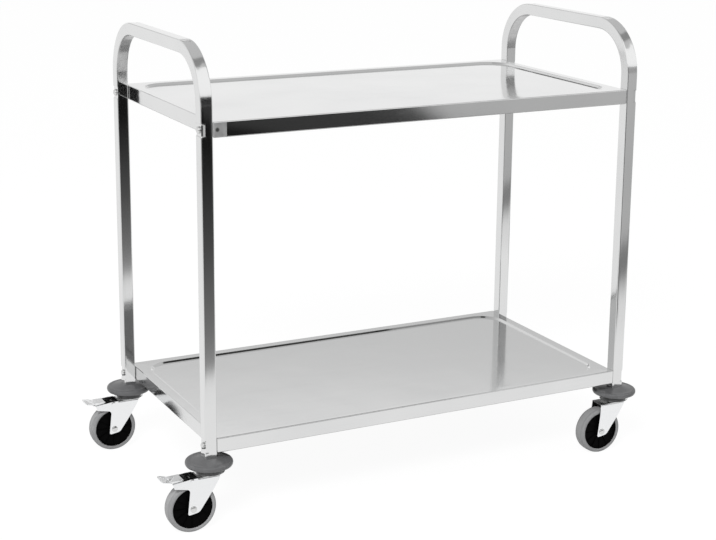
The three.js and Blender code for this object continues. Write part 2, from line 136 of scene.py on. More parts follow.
def drawOutline(corners, plane="XZ", level=0):  # a face through corners (across, up, rounding) at a level
    def place(across, up):
        return Vector((across, level, up) if plane == "XZ" else (across, up, level))

    points = [place(across, up) for across, up, rounding in corners]
    piece = openPrimitive(bpy.ops.mesh.primitive_plane_add, size=mm, location=points[0])
    bpy.ops.mesh.merge(type="CENTER")
    bpy.ops.mesh.select_all(action="SELECT")
    for start, end in zip(points, points[1:]):
        bpy.ops.mesh.extrude_vertices_move(TRANSFORM_OT_translate={"value": end - start})
    bpy.ops.mesh.select_all(action="SELECT")
    bpy.ops.mesh.edge_face_add()
    for point, (across, up, rounding) in zip(points, corners):
        if rounding:
            pick("VERT", lambda at, normal: (at - point).length < near)
            bpy.ops.mesh.bevel(affect="VERTICES", offset=rounding, segments=cornerSteps)
    return piece


axes = {"X": Vector((1, 0, 0)), "Y": Vector((0, 1, 0)), "Z": Vector((0, 0, 1))}
axisTurns = {"X": (0, math.pi / 2, 0), "Y": (-math.pi / 2, 0, 0), "Z": (0, 0, 0)}


def turnProfile(stations, sides, axis="Z", centre=(0, 0, 0), filled=False):
    # Draws circles (radius, place along the axis) out of each other, as on a lathe. A radius of 0 is a point.
    centre = Vector(centre)
    radius, along = stations[0]
    piece = openPrimitive(
        bpy.ops.mesh.primitive_circle_add,
        vertices=sides,
        radius=radius,
        fill_type="NGON" if filled else "NOTHING",
        location=centre + axes[axis] * along,
        rotation=axisTurns[axis],
    )
    bpy.ops.mesh.select_mode(type="EDGE")
    bpy.ops.mesh.select_all(action="SELECT")
    for nextRadius, nextAlong in stations[1:]:
        extrudeEdges(*(axes[axis] * (nextAlong - along)))
        if nextRadius == 0:
            bpy.ops.mesh.merge(type="CENTER")
        else:
            size = nextRadius / radius
            scale = [1 if axis == name else size for name in "XYZ"]
            bpy.ops.transform.resize(value=scale, center_override=centre + axes[axis] * nextAlong)
        radius, along = nextRadius, nextAlong
    if filled and radius > 0:
        bpy.ops.mesh.edge_face_add()
    closeEdit()
    return piece


def copyPiece(piece, matrix):
    twin = piece.copy()
    twin.data = piece.data.copy()
    twin.data.transform(matrix)
    bpy.context.scene.collection.objects.link(twin)
    return twin


def settle(piece, name, body, slot, material, *nodes):  # gives a finished piece its name, body and finish
    piece.name = name
    piece.data.name = name
    piece.data.materials.clear()
    piece.data.materials.append(material)
    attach(piece, body)
    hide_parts(*nodes)


def middle(node):
    low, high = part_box(node)
    return (low + high) / 2


# Node helpers

class Wire:  # an output socket that can be added, multiplied and compared like a number
    def __init__(self, graph, socket):
        self.graph = graph
        self.socket = socket

    def output(self, name):  # another output of the same node
        return Wire(self.graph, self.socket.node.outputs[name])

    def math(self, operation, other=0.0):
        return self.graph.node("Math", {"operation": operation}, {0: self, 1: other})

    def flipped(self, operation, other):
        return self.graph.node("Math", {"operation": operation}, {0: other, 1: self})

    def __add__(self, other):
        return self.math("ADD", other)

    def __radd__(self, other):
        return self.flipped("ADD", other)

    def __sub__(self, other):
        return self.math("SUBTRACT", other)

    def __rsub__(self, other):
        return self.flipped("SUBTRACT", other)

    def __mul__(self, other):
        return self.math("MULTIPLY", other)

    def __truediv__(self, other):
        return self.math("DIVIDE", other)

    def __neg__(self):
        return self.math("MULTIPLY", -1.0)

    def __abs__(self):
        return self.math("ABSOLUTE")

    def __gt__(self, other):
        return self.math("GREATER_THAN", other)

    def __lt__(self, other):
        return self.math("LESS_THAN", other)


class Graph:
    def __init__(self, tree):
        self.tree = tree
        tree.nodes.clear()

    def node(self, kind, settings={}, inputs={}, output=0):  # makes it, sets it up, fills its sockets
        made = self.tree.nodes.new("ShaderNode" + kind)
        for name, value in settings.items():
            if name == "stops":
                stops = made.color_ramp.elements
                for number, (position, colour) in enumerate(value):
                    if number >= len(stops):
                        stops.new(position)
                    stops[number].position = position
                    stops[number].color = colour
            else:
                setattr(made, name, value)
        for key, value in inputs.items():
            if isinstance(value, Wire):
                self.tree.links.new(value.socket, made.inputs[key])
            else:
                made.inputs[key].default_value = value
        return Wire(self, made.outputs[output]) if made.outputs else None

    def place(self, coordinate="Object"):
        return self.node("TexCoord", output=coordinate)

    def noise(self, vector, scale, detail=2.0, roughness=0.5):
        inputs = {"Vector": vector, "Scale": scale, "Detail": detail, "Roughness": roughness}
        return self.node("TexNoise", {}, inputs)

    def stretch(self, vector, scale):
        return self.node("Mapping", {}, {"Vector": vector, "Scale": scale})

    def split(self, vector):  # its outputs are named X, Y and Z
        return self.node("SeparateXYZ", {}, {0: vector})

    def fade(self, value, start, end):  # 0 at the start, 1 at the end
        return self.node("MapRange", {}, {"Value": value, "From Min": start, "From Max": end})

    def rays(self):  # whether the camera or a polished face looks
        path = self.node("LightPath")
        return path.output("Is Camera Ray"), path.output("Is Glossy Ray") + path.output("Is Transmission Ray")

    def mixColour(self, amount, first, second):
        return self.node("Mix", {"data_type": "RGBA"}, {0: amount, 6: first, 7: second}, 2)

    def bump(self, height, distance, below=None):
        inputs = {"Height": height, "Strength": 1.0, "Distance": distance}
        if below:
            inputs["Normal"] = below
        return self.node("Bump", {}, inputs)

    def principled(self, **sockets):
        names = {"colour": "Base Color", "roughness": "Roughness", "metallic": "Metallic", "normal": "Normal",
                 "specular": "Specular IOR Level"}
        return self.node("BsdfPrincipled", {}, {names[key]: value for key, value in sockets.items()})

    def finish(self, shader, kind="Material"):
        self.node("Output" + kind, {}, {"Surface": shader})


def newMaterial(name):
    material = bpy.data.materials.new(name)
    material.use_nodes = True
    return material, Graph(material.node_tree)


def grey(value):
    return (value, value, value, 1)


# Finishes

steelLook = {
    "bright": (0.86, 0.86, 0.855, 1),
    "dull": (0.68, 0.685, 0.69, 1),
    "roughness": 0.045,
    "tubeGrain": (1500, 12, 1),  # fine lines: their number per metre, along each direction
    "sheetGrain": (9, 1400, 1400),
    "grainDetail": 4.0,
    "grainDepth": 0.0012 * mm,
    "grainRoughness": 0.05,
    "haze": (6.0, 3.0),  # a pattern's scale, detail and roughness
    "hazeRoughness": 0.09,
    "spots": (90.0, 2.0),
    "spotsFrom": 0.72,
    "spotRoughness": 0.02,
    "waves": (9, 1.0),  # the sheet's own slight waves
    "waveDepth": 0.16 * mm,
    "tubeWaveDepth": 0.10 * mm,
    "worn": (0.50, 0.50, 0.50, 1),  # the inside of a bend, where the polishing wheel doesn't reach
    "wornPatches": (130.0, 3.0, 0.6),
    "wornLeast": 0.4,
    "wornMore": 0.8,
    "wornRoughness": 0.16,
    "bendRoughness": 0.05,
    "millAndPaintedShade": (0.09, 0.09, 0.0895, 1),  # painted shade: a near-black colour under a tray, where the polisher also leaves a duller mill finish
    "millRoughness": 0.35,
    "facesDown": -0.5,  # limits of the normals, under a tray and on its long aprons
    "facesLevel": 0.3,
    "facesAcross": 0.7,
    "seam": 27 * mm,  # of the upper apron by its left corners, ground by hand
    "seamRoughness": 0.5,
    "weld": (0.16, 0.16, 0.16, 1),
    "weldInward": 8 * mm,
    "weldSize": 5 * mm,
}


def makeSteel(name, coordinate, grain, waveDepth, tray=False):  # polished, with fine lines one way
    look = steelLook
    material, graph = newMaterial(name)
    place = graph.place()
    spot = graph.split(place)
    lines = graph.noise(graph.stretch(graph.place(coordinate), grain), 1.0, look["grainDetail"])
    haze = graph.noise(place, *look["haze"])
    spots = graph.noise(place, *look["spots"])
    roughness = (
        look["roughness"]
        + lines * look["grainRoughness"]
        + haze * haze * look["hazeRoughness"]
        + (spots > look["spotsFrom"]) * look["spotRoughness"]
    )
    normal = graph.bump(lines, look["grainDepth"], graph.bump(graph.noise(place, *look["waves"]), waveDepth))
    colour = graph.mixColour((haze + lines) / 2, look["bright"], look["dull"])
    if tray:
        facing = graph.split(graph.node("NewGeometry", output="Normal"))
        below = facing.output("Z") < look["facesDown"]
        upright = abs(facing.output("Z")) < look["facesLevel"]
        upright = upright * (abs(facing.output("Y")) > look["facesAcross"])
        # painted shade: the faces under a tray are coloured near black; the rougher mill finish below is real
        colour = graph.mixColour(below, colour, look["millAndPaintedShade"])
        low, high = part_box("shelf_upper")
        across = spot.output("X") - (low.x + high.x) / 2
        drop = spot.output("Z") - (low.z + high.z) / 2
        end = (high.x - low.x) / 2
        upright = upright * (across < 0.0) * (abs(drop) < high.z - low.z)
        ground = upright * (-across > end - look["seam"])
        aside = across + end - look["weldInward"]
        distance = (aside * aside + drop * drop).math("SQRT")  # from the mark of a weld by the corner
        mark = graph.fade(distance, look["weldSize"], look["weldSize"] / 2)
        colour = graph.mixColour(upright * mark, colour, look["weld"])
        roughness = roughness + below * look["millRoughness"]
        roughness = roughness + ground * (spots + 1) / 2 * look["seamRoughness"]
    else:
        low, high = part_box("end_hoop_left")
        half = (high.x - low.x) / 2
        out = abs(spot.output("Y")) - (high.y - half - hoop["bendRadius"])
        rise = spot.output("Z") - (high.z - half - hoop["bendRadius"])
        arm = (out * out + rise * rise).math("SQRT")
        bend = (out > 0.0) * (rise > 0.0)
        inside = bend * (arm < hoop["bendRadius"] - half + hoop["corner"] / 4)
        worn = inside * (graph.noise(place, *look["wornPatches"]) * look["wornMore"] + look["wornLeast"])
        colour = graph.mixColour(worn, colour, look["worn"])
        roughness = roughness + worn * look["wornRoughness"] + bend * look["bendRoughness"]
    graph.finish(graph.principled(colour=colour, metallic=1.0, roughness=roughness, normal=normal))
    return material


platedLook = {
    "mottle": (260.0, 4.0, 0.6),
    "mottleDepth": 0.01 * mm,
    "mottleRoughness": 0.07,
    "marks": (60, 60, 900),  # scales along X, Y and Z
    "markDetail": 3.0,
    "marksFrom": 0.62,
    "markRoughness": 0.04,
    "waves": 40.0,
    "waveDepth": 0.03 * mm,
}
# Painted shade on the forks: a dark colour on the crown's top and on the faces between the plates
forkShade = {
    "colour": (0.045, 0.045, 0.044, 1),  # of the painted shade: dark on the crown's top, and between the plates of a fork
    "least": 0.8,
    "more": 0.3,
    "roughness": 0.1,
    "facesUp": 0.9,  # limit of the normals on the crown's top
    "reach": 2 * mm,  # down from the crown's top
    "half": 16.2 * mm,  # of the width inside a fork, where the painted shade lies
    "insideReach": 22 * mm,
    "behind": 58 * mm,  # the stem, where it ends
}


def makePlated(name, bright, dull, roughness, paintsShade=""):  # plating with a faint mottle and handling marks, and where asked painted shade on a fork's crown and between its plates
    look = platedLook
    material, graph = newMaterial(name)
    place = graph.place()
    mottle = graph.noise(place, *look["mottle"])
    marks = graph.noise(graph.stretch(place, look["marks"]), 1.0, look["markDetail"])
    colour = graph.mixColour(mottle, bright, dull)
    rough = roughness + mottle * look["mottleRoughness"] + (marks > look["marksFrom"]) * look["markRoughness"]
    # Painted shade: the crown's top is coloured dark where it would reflect the bumper's dark underside, and
    # the faces between a fork's plates are coloured dark where shadow falls
    if paintsShade:
        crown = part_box("fork_front_left")[1].z
        stem = middle("king_bolt_rear_left")
        spot = graph.split(place)
        facing = graph.split(graph.node("NewGeometry", output="Normal"))
        top = (facing.output("Z") > forkShade["facesUp"]) * (spot.output("Z") > crown - forkShade["reach"])
        inside = abs(abs(spot.output("Y")) - stem.y) < forkShade["half"]
        inside = inside * (spot.output("Z") > crown - forkShade["insideReach"])
        inside = inside * (spot.output("X") > stem.x - forkShade["behind"])
        shadeMask = inside if paintsShade == "inside" else top.math("MAXIMUM", inside)
        colour = graph.mixColour(shadeMask * (mottle * forkShade["more"] + forkShade["least"]), colour, forkShade["colour"])
        rough = rough + shadeMask * forkShade["roughness"]
    waves = graph.bump(graph.noise(place, look["waves"]), look["waveDepth"])
    normal = graph.bump(mottle, look["mottleDepth"], waves)
    graph.finish(graph.principled(colour=colour, metallic=1.0, roughness=rough, normal=normal))
    return material


rubberLook = {
    "cloud": (55.0, 5.0, 0.65),
    "cloudDepth": 0.05 * mm,
    "pores": (1400.0, 2.0),
    "poreDepth": 0.03 * mm,
    "poreRoughness": 0.1,
    "rubbed": (22.0, 3.0),
    "rubbedFrom": 0.58,
    "rubbedShine": 0.05,
    "specular": 0.5,
}
tread = {
    "half": 6.5 * mm,  # of the painted highlight along the middle of the tread
    "fade": 2 * mm,
    "light": (0.47, 0.472, 0.475, 1),
    "least": 0.6,
    "more": 0.4,
}


def makeRubber(name, light, dark, roughness, scuff, treadHighlight=False):  # moulded, and chalky where it is rubbed; a tyre also gets a painted highlight along its tread
    look = rubberLook
    material, graph = newMaterial(name)
    place = graph.place()
    cloud = graph.noise(place, *look["cloud"])
    pores = graph.noise(place, *look["pores"])
    rubbed = (graph.noise(place, *look["rubbed"]) > look["rubbedFrom"]) * scuff
    colour = graph.mixColour(cloud + rubbed, dark, light)
    # painted highlight: a lighter band along the middle of the tread, where the domed tread would catch the
    # light
    if treadHighlight:
        across = abs(graph.split(place).output("Y")) - middle("tyre_rear_left").y
        band = graph.fade(abs(across), tread["half"] + tread["fade"], tread["half"])
        colour = graph.mixColour(band * tread["least"] + band * cloud * tread["more"], colour, tread["light"])
    rough = roughness + pores * look["poreRoughness"] - rubbed * look["rubbedShine"]
    normal = graph.bump(pores, look["poreDepth"], graph.bump(cloud, look["cloudDepth"]))
    graph.finish(graph.principled(colour=colour, roughness=rough, normal=normal, specular=look["specular"]))
    return material


plasticLook = {
    "grain": (1800.0, 2.0),  # spark-eroded in the mould
    "grainDepth": 0.02 * mm,
    "grainRoughness": 0.12,
    "dust": (70.0, 4.0),
    "dustAmount": 0.5,
    "dustTone": 0.005,
    "specular": 0.03,
}


def makePlastic(name, colour, sheen):  # black moulded plastic
    look = plasticLook
    material, graph = newMaterial(name)
    place = graph.place()
    grain = graph.noise(place, *look["grain"])
    dust = graph.noise(place, *look["dust"]) * look["dustAmount"]
    tint = graph.mixColour(dust, colour, grey(look["dustTone"]))
    normal = graph.bump(grain, look["grainDepth"])
    rough = sheen + grain * look["grainRoughness"]
    graph.finish(graph.principled(colour=tint, roughness=rough, normal=normal, specular=look["specular"]))
    return material


sheetSteel = makeSteel("polished sheet", "Object", steelLook["sheetGrain"], steelLook["waveDepth"], tray=True)
brightNickel = makePlated("bright hardware", bright=(0.78, 0.78, 0.77, 1), dull=(0.68, 0.685, 0.69, 1),
                          roughness=0.14)
zinc = {"bright": (0.93, 0.935, 0.94, 1), "dull": (0.88, 0.89, 0.90, 1)}
# its faces between a fork's plates get painted shade
zincPlate = makePlated("zinc plate", **zinc, roughness=0.09, paintsShade="inside")
forkPlate = makePlated("zinc plate with painted shade", **zinc, roughness=0.10, paintsShade="crown")
bumperRubber = makeRubber("bumper rubber", light=(0.17, 0.171, 0.175, 1), dark=(0.115, 0.116, 0.12, 1),
                          roughness=0.3, scuff=0.5)
tyreRubber = makeRubber("grey tyre", light=(0.41, 0.412, 0.415, 1), dark=(0.29, 0.292, 0.296, 1),
                        roughness=0.5, scuff=0.4, treadHighlight=True)
blackPlastic = makePlastic("black plastic", colour=grey(0.0015), sheen=0.42)
print("finishes made")


# End hoops

hoop = {
    "wall": 1.2 * mm,
    "corner": 2.5 * mm,
    "cornerSteps": 4,
    "faceCuts": 3,  # lines along each face
    "bendRadius": 100 * mm,  # at the tube's middle
    "bendSteps": 30,
    "dentDepth": 2 * mm,  # of the flat pressed in at each shelf joint
    "dentHeight": 28 * mm,
    "dentSlope": 4 * mm,
    "dentSteps": 4,
    "facetDepth": 1.3 * mm,  # how far the flat drags the tube's corners in
    "sink": 0.5 * mm,  # of the bend's outer face
    "ripple": 0.32 * mm,  # of the bend's inner face
    "ripples": 7,
    "faceReach": 560 * mm,  # up and down from a joint, to the middles of the leg's long faces
    "catch": 0.4 * mm,  # how far from a spot on a bend its points are picked
}
tubeSteel = makeSteel("polished tube", "UV", steelLook["tubeGrain"], steelLook["tubeWaveDepth"])


def pressJoint(legX, legY, level, face):  # presses the flat into the leg's outer face at a shelf joint
    half = hoop["dentHeight"] / 2
    heights = []
    for step in range(hoop["dentSteps"] + 1):
        share = step / hoop["dentSteps"]
        drop = half - hoop["dentSlope"] * share
        pressed = (1 - math.cos(math.pi * share)) / 2  # eases in and out
        heights += [(level + drop, pressed), (level - drop, pressed)]
    reach = hoop["dentHeight"]
    for height, share in heights:
        pick("FACE", lambda at, normal: abs(at.z - level) < hoop["faceReach"] and abs(at.y - legY) < reach)
        bpy.ops.mesh.bisect(plane_co=(legX, legY, height), plane_no=(0, 0, 1))
    for height, share in heights:
        depth = hoop["dentDepth"] * share
        if depth == 0:
            continue
        pick("VERT", lambda at, normal: abs(at.z - height) < near and abs(at.y - legY) < reach
             and at.x < face + depth - near / 10)
        bpy.ops.transform.resize(value=(0, 1, 1), center_override=(face + depth, legY, height))
        for side in (-1, 1):
            wide = abs(face - legX) - hoop["corner"] - near
            pick("VERT", lambda at, normal: abs(at.z - height) < near and (at.y - legY) * side > wide
                 and at.y * side > 0 and abs(at.y - legY) < reach and at.x < face + hoop["corner"] + near)
            bpy.ops.transform.translate(value=(0, -side * hoop["facetDepth"] * share, 0))


def unrollTube(piece, legX, legY, bendZ):  # a UV map: across the tube's face, and along its length
    mesh = piece.data
    layer = mesh.uv_layers.new(name="tube")
    radius = hoop["bendRadius"]
    bendY = legY - radius
    for loop in mesh.loops:
        at = mesh.vertices[loop.vertex_index].co
        side = math.copysign(1, at.y)
        if at.z < bendZ:
            out, along = abs(at.y) - legY, side * (bendY + radius * math.pi / 2 + bendZ - at.z)
        elif abs(at.y) < bendY:
            out, along = at.z - bendZ - radius, at.y
        else:
            arm = Vector((abs(at.y) - bendY, at.z - bendZ))
            out = arm.length - radius
            along = side * (bendY + radius * math.atan2(arm.x, arm.y))
        layer.data[loop.index].uv = (at.x - legX + out, along)


def makeHoop():
    low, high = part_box("end_hoop_left")
    tube = high.x - low.x
    legX = (low.x + high.x) / 2
    legY = high.y - tube / 2
    radius = hoop["bendRadius"]
    bendY = legY - radius
    bendZ = high.z - tube / 2 - radius
    piece = openPrimitive(bpy.ops.mesh.primitive_plane_add, size=tube, location=(legX, -legY, low.z))
    bpy.ops.mesh.bevel(affect="VERTICES", offset=hoop["corner"], segments=hoop["cornerSteps"])
    pick("EDGE", lambda at, heading: heading.length > tube / 2)
    bpy.ops.mesh.subdivide(number_cuts=hoop["faceCuts"])
    bpy.ops.mesh.select_all(action="SELECT")
    bpy.ops.mesh.delete(type="ONLY_FACE")
    bpy.ops.mesh.select_mode(type="EDGE")
    bpy.ops.mesh.select_all(action="SELECT")
    extrudeEdges(z=bendZ - low.z)
    bend = {"steps": hoop["bendSteps"], "angle": math.pi / 2, "axis": (1, 0, 0)}
    bpy.ops.mesh.spin(center=(legX, -bendY, bendZ), **bend)
    extrudeEdges(y=2 * bendY)
    bpy.ops.mesh.spin(center=(legX, bendY, bendZ), **bend)
    extrudeEdges(z=low.z - bendZ)
    for side in (-1, 1):
        for shelf in shelves:
            level = middle(f"shelf_bolt_{shelf}_front_left").z
            pressJoint(legX, side * legY, level, low.x)
    flat = tube / 2 - hoop["corner"] - 2 * near
    for side in (-1, 1):
        for step in range(1, hoop["bendSteps"]):
            share = step / hoop["bendSteps"]
            angle = share * math.pi / 2
            out = Vector((0, side * math.cos(angle), math.sin(angle)))
            swell = math.sin(2 * angle)
            ripple = math.sin(2 * math.pi * hoop["ripples"] * share)
            shifts = ((tube / 2, -hoop["sink"] * swell), (-tube / 2, hoop["ripple"] * swell * ripple))
            for face, shift in shifts:
                spot = Vector((legX, side * bendY, bendZ)) + out * (radius + face)
                pick("VERT", lambda at, normal: abs(at.x - legX) < flat
                     and (at - spot - axes["X"] * (at.x - legX)).length < hoop["catch"])
                bpy.ops.transform.translate(value=out * shift)
    closeEdit()
    modify(piece, "SOLIDIFY", thickness=hoop["wall"], offset=-1)
    unrollTube(piece, legX, legY, bendZ)
    smooth(piece, angle=30)
    return piece


hoopCentre = (middle("end_hoop_left") + middle("end_hoop_right")) / 2
halfTurn = Matrix.Rotation(math.pi, 4, "Z")
faceAbout = Matrix.Translation(hoopCentre) @ halfTurn @ Matrix.Translation(-hoopCentre)
leftHoop = makeHoop()
rightHoop = copyPiece(leftHoop, faceAbout)
settle(leftHoop, "end_hoop_left_tube", "frame", "polished_steel", tubeSteel, "end_hoop_left")
settle(rightHoop, "end_hoop_right_tube", "frame", "polished_steel", tubeSteel, "end_hoop_right")
print("end hoops bent")


# Shelves

shelf = {
    "sheet": 1.2 * mm,
    "fold": 2 * mm,  # outer radius where the rim turns down into the apron
    "foldSteps": 5,
    "rim": 20 * mm,
    "panDepth": 4 * mm,
    "panSlope": 7 * mm,
    "panTilt": 37,  # degrees, of the straight part of the slope
    "panBendSteps": 4,
    "panCorner": 55 * mm,
    "panCornerSteps": 14,
    "hem": 12 * mm,
}


def slopeStations():  # (inward, downward) from the rim to the pan: a bend, a slope and a bend
    width, depth = shelf["panSlope"], shelf["panDepth"]
    tilt = math.radians(shelf["panTilt"])
    radius = (width - depth / math.tan(tilt)) / (2 * math.tan(tilt / 2))
    bend = []
    for step in range(1, shelf["panBendSteps"] + 1):
        angle = tilt * step / shelf["panBendSteps"]
        bend.append((radius * math.sin(angle), radius * (1 - math.cos(angle))))
    return bend + [(width - inward, depth - down) for inward, down in reversed(bend)] + [(width, depth)]


def makeShelf():
    low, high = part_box("shelf_upper")
    centre = (low + high) / 2
    size = high - low
    fold = shelf["fold"]
    top = Vector((centre.x, centre.y, high.z))
    piece = openPrimitive(bpy.ops.mesh.primitive_plane_add, size=1, location=top)
    pan = [size.x - 2 * shelf["rim"], size.y - 2 * shelf["rim"]]
    bpy.ops.transform.resize(value=(*pan, 1), center_override=top)
    bpy.ops.mesh.bevel(affect="VERTICES", offset=shelf["panCorner"], segments=shelf["panCornerSteps"])
    bpy.ops.mesh.select_all(action="DESELECT")
    bpy.ops.mesh.primitive_plane_add(size=1, location=top)
    across, deep = size.x - 2 * fold, size.y - 2 * fold
    bpy.ops.transform.resize(value=(across, deep, 1), center_override=top)
    bpy.ops.mesh.bevel(affect="VERTICES", offset=fold, segments=shelf["foldSteps"])
    bpy.ops.mesh.delete(type="ONLY_FACE")
    pickOpenEdges()
    bpy.ops.mesh.fill(use_beauty=True)
    pick("FACE", lambda at, normal: (at - top).length < mm)
    inward, down = 0, 0
    for nextInward, nextDown in slopeStations():
        bpy.ops.mesh.inset(thickness=nextInward - inward, depth=down - nextDown)
        inward, down = nextInward, nextDown
    pickOpenEdges()
    level = high.z

    def ringTo(nextAcross, nextDeep, nextLevel):
        nonlocal across, deep, level
        extrudeEdges(z=nextLevel - level)
        scale = (nextAcross / across, nextDeep / deep, 1)
        bpy.ops.transform.resize(value=scale, center_override=(top.x, top.y, nextLevel))
        across, deep, level = nextAcross, nextDeep, nextLevel

    for corner in (0, 1):  # the fold at the rim, then the one into the hem
        for step in range(1, shelf["foldSteps"] + 1):
            angle = (corner + step / shelf["foldSteps"]) * math.pi / 2
            inset = fold * (1 - math.sin(angle))
            drop = fold * (1 - math.cos(angle)) if corner == 0 else size.z - fold * (1 + math.cos(angle))
            ringTo(size.x - 2 * inset, size.y - 2 * inset, high.z - drop)
        if corner == 0:
            ringTo(size.x, size.y, low.z + fold)
    ringTo(size.x - 2 * shelf["hem"], size.y - 2 * shelf["hem"], low.z)
    closeEdit()
    modify(piece, "SOLIDIFY", thickness=shelf["sheet"], offset=-1)
    smooth(piece, angle=30)
    return piece


upperShelf = makeShelf()
shelfDrop = middle("shelf_lower") - middle("shelf_upper")
lowerShelf = copyPiece(upperShelf, Matrix.Translation(shelfDrop))
settle(upperShelf, "shelf_upper_tray", "frame", "polished_steel", sheetSteel, "shelf_upper")
settle(lowerShelf, "shelf_lower_tray", "frame", "polished_steel", sheetSteel, "shelf_lower")
print("shelves folded")


# Shelf bolts and nuts

headSteps = 8  # of a round head's dome
crownShare = 0.02  # of a head's radius, the small flat on its crown
shelfBolt = {
    "head": 7 * mm,
    "height": 5.5 * mm,
    "edge": 0.9 * mm,
    "shank": 3 * mm,
    "point": 1 * mm,
    "tip": 2.1 * mm,
    "soften": 0.25 * mm,
    "sides": 40,
    "nutChamfer": 0.6 * mm,
}
nut = {
    "clearance": 0.2 * mm,
    "coneShare": 1.02,  # of the hexagon's corners, the radius of the cone that chamfers them
    "coneSides": 48,
    "holeSides": 32,
    "soften": 0.15 * mm,
}


def makeNut(box, axis, bolt):  # a hexagon nut that fills a box, its corners chamfered
    low, high = box
    name = "XYZ".index(axis)
    length = high[name] - low[name]
    flats = min(size for place, size in enumerate(high - low) if place != name)
    corner = flats / math.sqrt(3)
    wide = corner * nut["coneShare"]
    slope = bolt["nutChamfer"]
    narrow = corner - slope
    bore = bolt["shank"] + nut["clearance"]
    start = (low + high) / 2 - axes[axis] * length / 2
    body = turnProfile([(corner, 0), (corner, length)], 6, axis, start, True)
    chamfered = [(narrow, 0), (wide, slope), (wide, length - slope), (narrow, length)]
    cone = turnProfile(chamfered, nut["coneSides"], axis, start, True)
    hole = turnProfile([(bore, -mm), (bore, length + mm)], nut["holeSides"], axis, start, True)
    modify(body, "BOOLEAN", object=cone, operation="INTERSECT", solver="EXACT")
    modify(body, "BOOLEAN", object=hole, operation="DIFFERENCE", solver="EXACT")
    for cutter in (cone, hole):
        bpy.data.objects.remove(cutter)
    softenEdges(body, nut["soften"], 1)
    smooth(body, angle=30)
    return body


def makeHeaded(box, axis, look):  # a bolt with a round head at the start of its box, or a pin with two
    low, high = box
    name = "XYZ".index(axis)
    start = (low + high) / 2
    start[name] = low[name]
    length = high[name] - low[name]
    head = look.get("head", (high.z - low.z) / 2)
    profile = [(head * crownShare, 0)]
    for step in range(headSteps - 1, 0, -1):
        angle = step / headSteps * math.pi / 2
        rise = look["edge"] + (look["height"] - look["edge"]) * math.sin(angle)
        profile.append((head * math.cos(angle), look["height"] - rise))
    profile += [(head, look["height"] - look["edge"]), (head, look["height"])]
    profile.append((look["shank"], look["height"]))
    if "tip" in look:
        profile += [(look["shank"], length - look["point"]), (look["tip"], length)]
    else:
        profile += [(radius, length - along) for radius, along in reversed(profile)]
    piece = turnProfile(profile, look["sides"], axis, start, True)
    if "soften" in look:
        softenEdges(piece, look["soften"])
    smooth(piece)
    return piece


boltMaster = makeHeaded(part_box("shelf_bolt_upper_front_left"), "X", shelfBolt)
nutMaster = makeNut(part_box("shelf_nut_upper_front_left"), "X", shelfBolt)
for kind, master in (("bolt", boltMaster), ("nut", nutMaster)):
    home = middle(f"shelf_{kind}_upper_front_left")
    for shelfName in shelves:
        for row in rows:
            for end in ends:
                node = f"shelf_{kind}_{shelfName}_{row}_{end}"
                turn = Matrix.Rotation(math.pi if end == "right" else 0, 4, "Z")
                move = Matrix.Translation(middle(node)) @ turn @ Matrix.Translation(-home)
                piece = copyPiece(master, move)
                settle(piece, node + "_turned", "frame", "bright_hardware", brightNickel, node)
    bpy.data.objects.remove(master)
print("shelf bolts and nuts fitted")


# Castors: each piece is modelled about a stem at X = 0, Y = 0, and copied to the four stems

stems = {}
for end in ends:
    for row in rows:
        place = middle(f"king_bolt_{row}_{end}")
        stems[f"{row}_{end}"] = Vector((place.x, place.y, 0))
firstStem = stems["front_left"]


def localBox(node):  # the box of a front left castor node about its own stem
    low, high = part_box(node)
    return low - firstStem, high - firstStem


def placeOnStems(master, kind, label, body, slot, material, places=None):
    for place in places or stems:
        piece = copyPiece(master, Matrix.Translation(stems[place]))
        node = f"{kind}_{place}"
        rides = body if body == "frame" else f"{body}_{place}"
        settle(piece, f"{node}_{label}", rides, slot, material, node)
    bpy.data.objects.remove(master)


bumper = {
    "shares": [(0.5, 0), (0.74, 0.2), (0.9, 0.27), (0.965, 0.34), (0.992, 0.44), (1, 0.55), (0.992, 0.66),
               (0.965, 0.75), (0.925, 0.8), (0.88, 0.805), (0.84, 0.79), (0.72, 0.83), (0.6, 0.88),
               (0.48, 0.94), (0.38, 0.985), (0.34, 1)],
    "bore": 6.4 * mm,
    "sides": 96,
}
cup = {
    "shares": [(0.4, 0), (0.42, 0.6), (0.84, 0.6), (0.9, 0.42), (0.93, 0.36), (0.98, 0.34), (1, 0.42),
               (0.98, 0.5), (0.93, 0.66), (0.87, 0.9), (0.84, 0.97), (0.77, 1)],
    "bore": 6.4 * mm,
    "sides": 80,
}


def makeStemRing(node, sizes):  # a round piece on the stem, from shares of its radius and height
    low, high = localBox(node)
    radius, height = high.x, high.z - low.z
    profile = [(radius * across, low.z + height * up) for across, up in sizes["shares"]]
    profile = [(sizes["bore"], low.z)] + profile + [(sizes["bore"], high.z), (sizes["bore"], low.z)]
    piece = turnProfile(profile, sizes["sides"])
    smooth(piece, angle=50, weighted=False)
    return piece


bumperMaster = makeStemRing("bumper_front_left", bumper)
cupMaster = makeStemRing("swivel_cup_front_left", cup)
placeOnStems(bumperMaster, "bumper", "disc", "frame", "bumper_rubber", bumperRubber)
placeOnStems(cupMaster, "swivel_cup", "race", "frame", "zinc_plate", brightNickel)

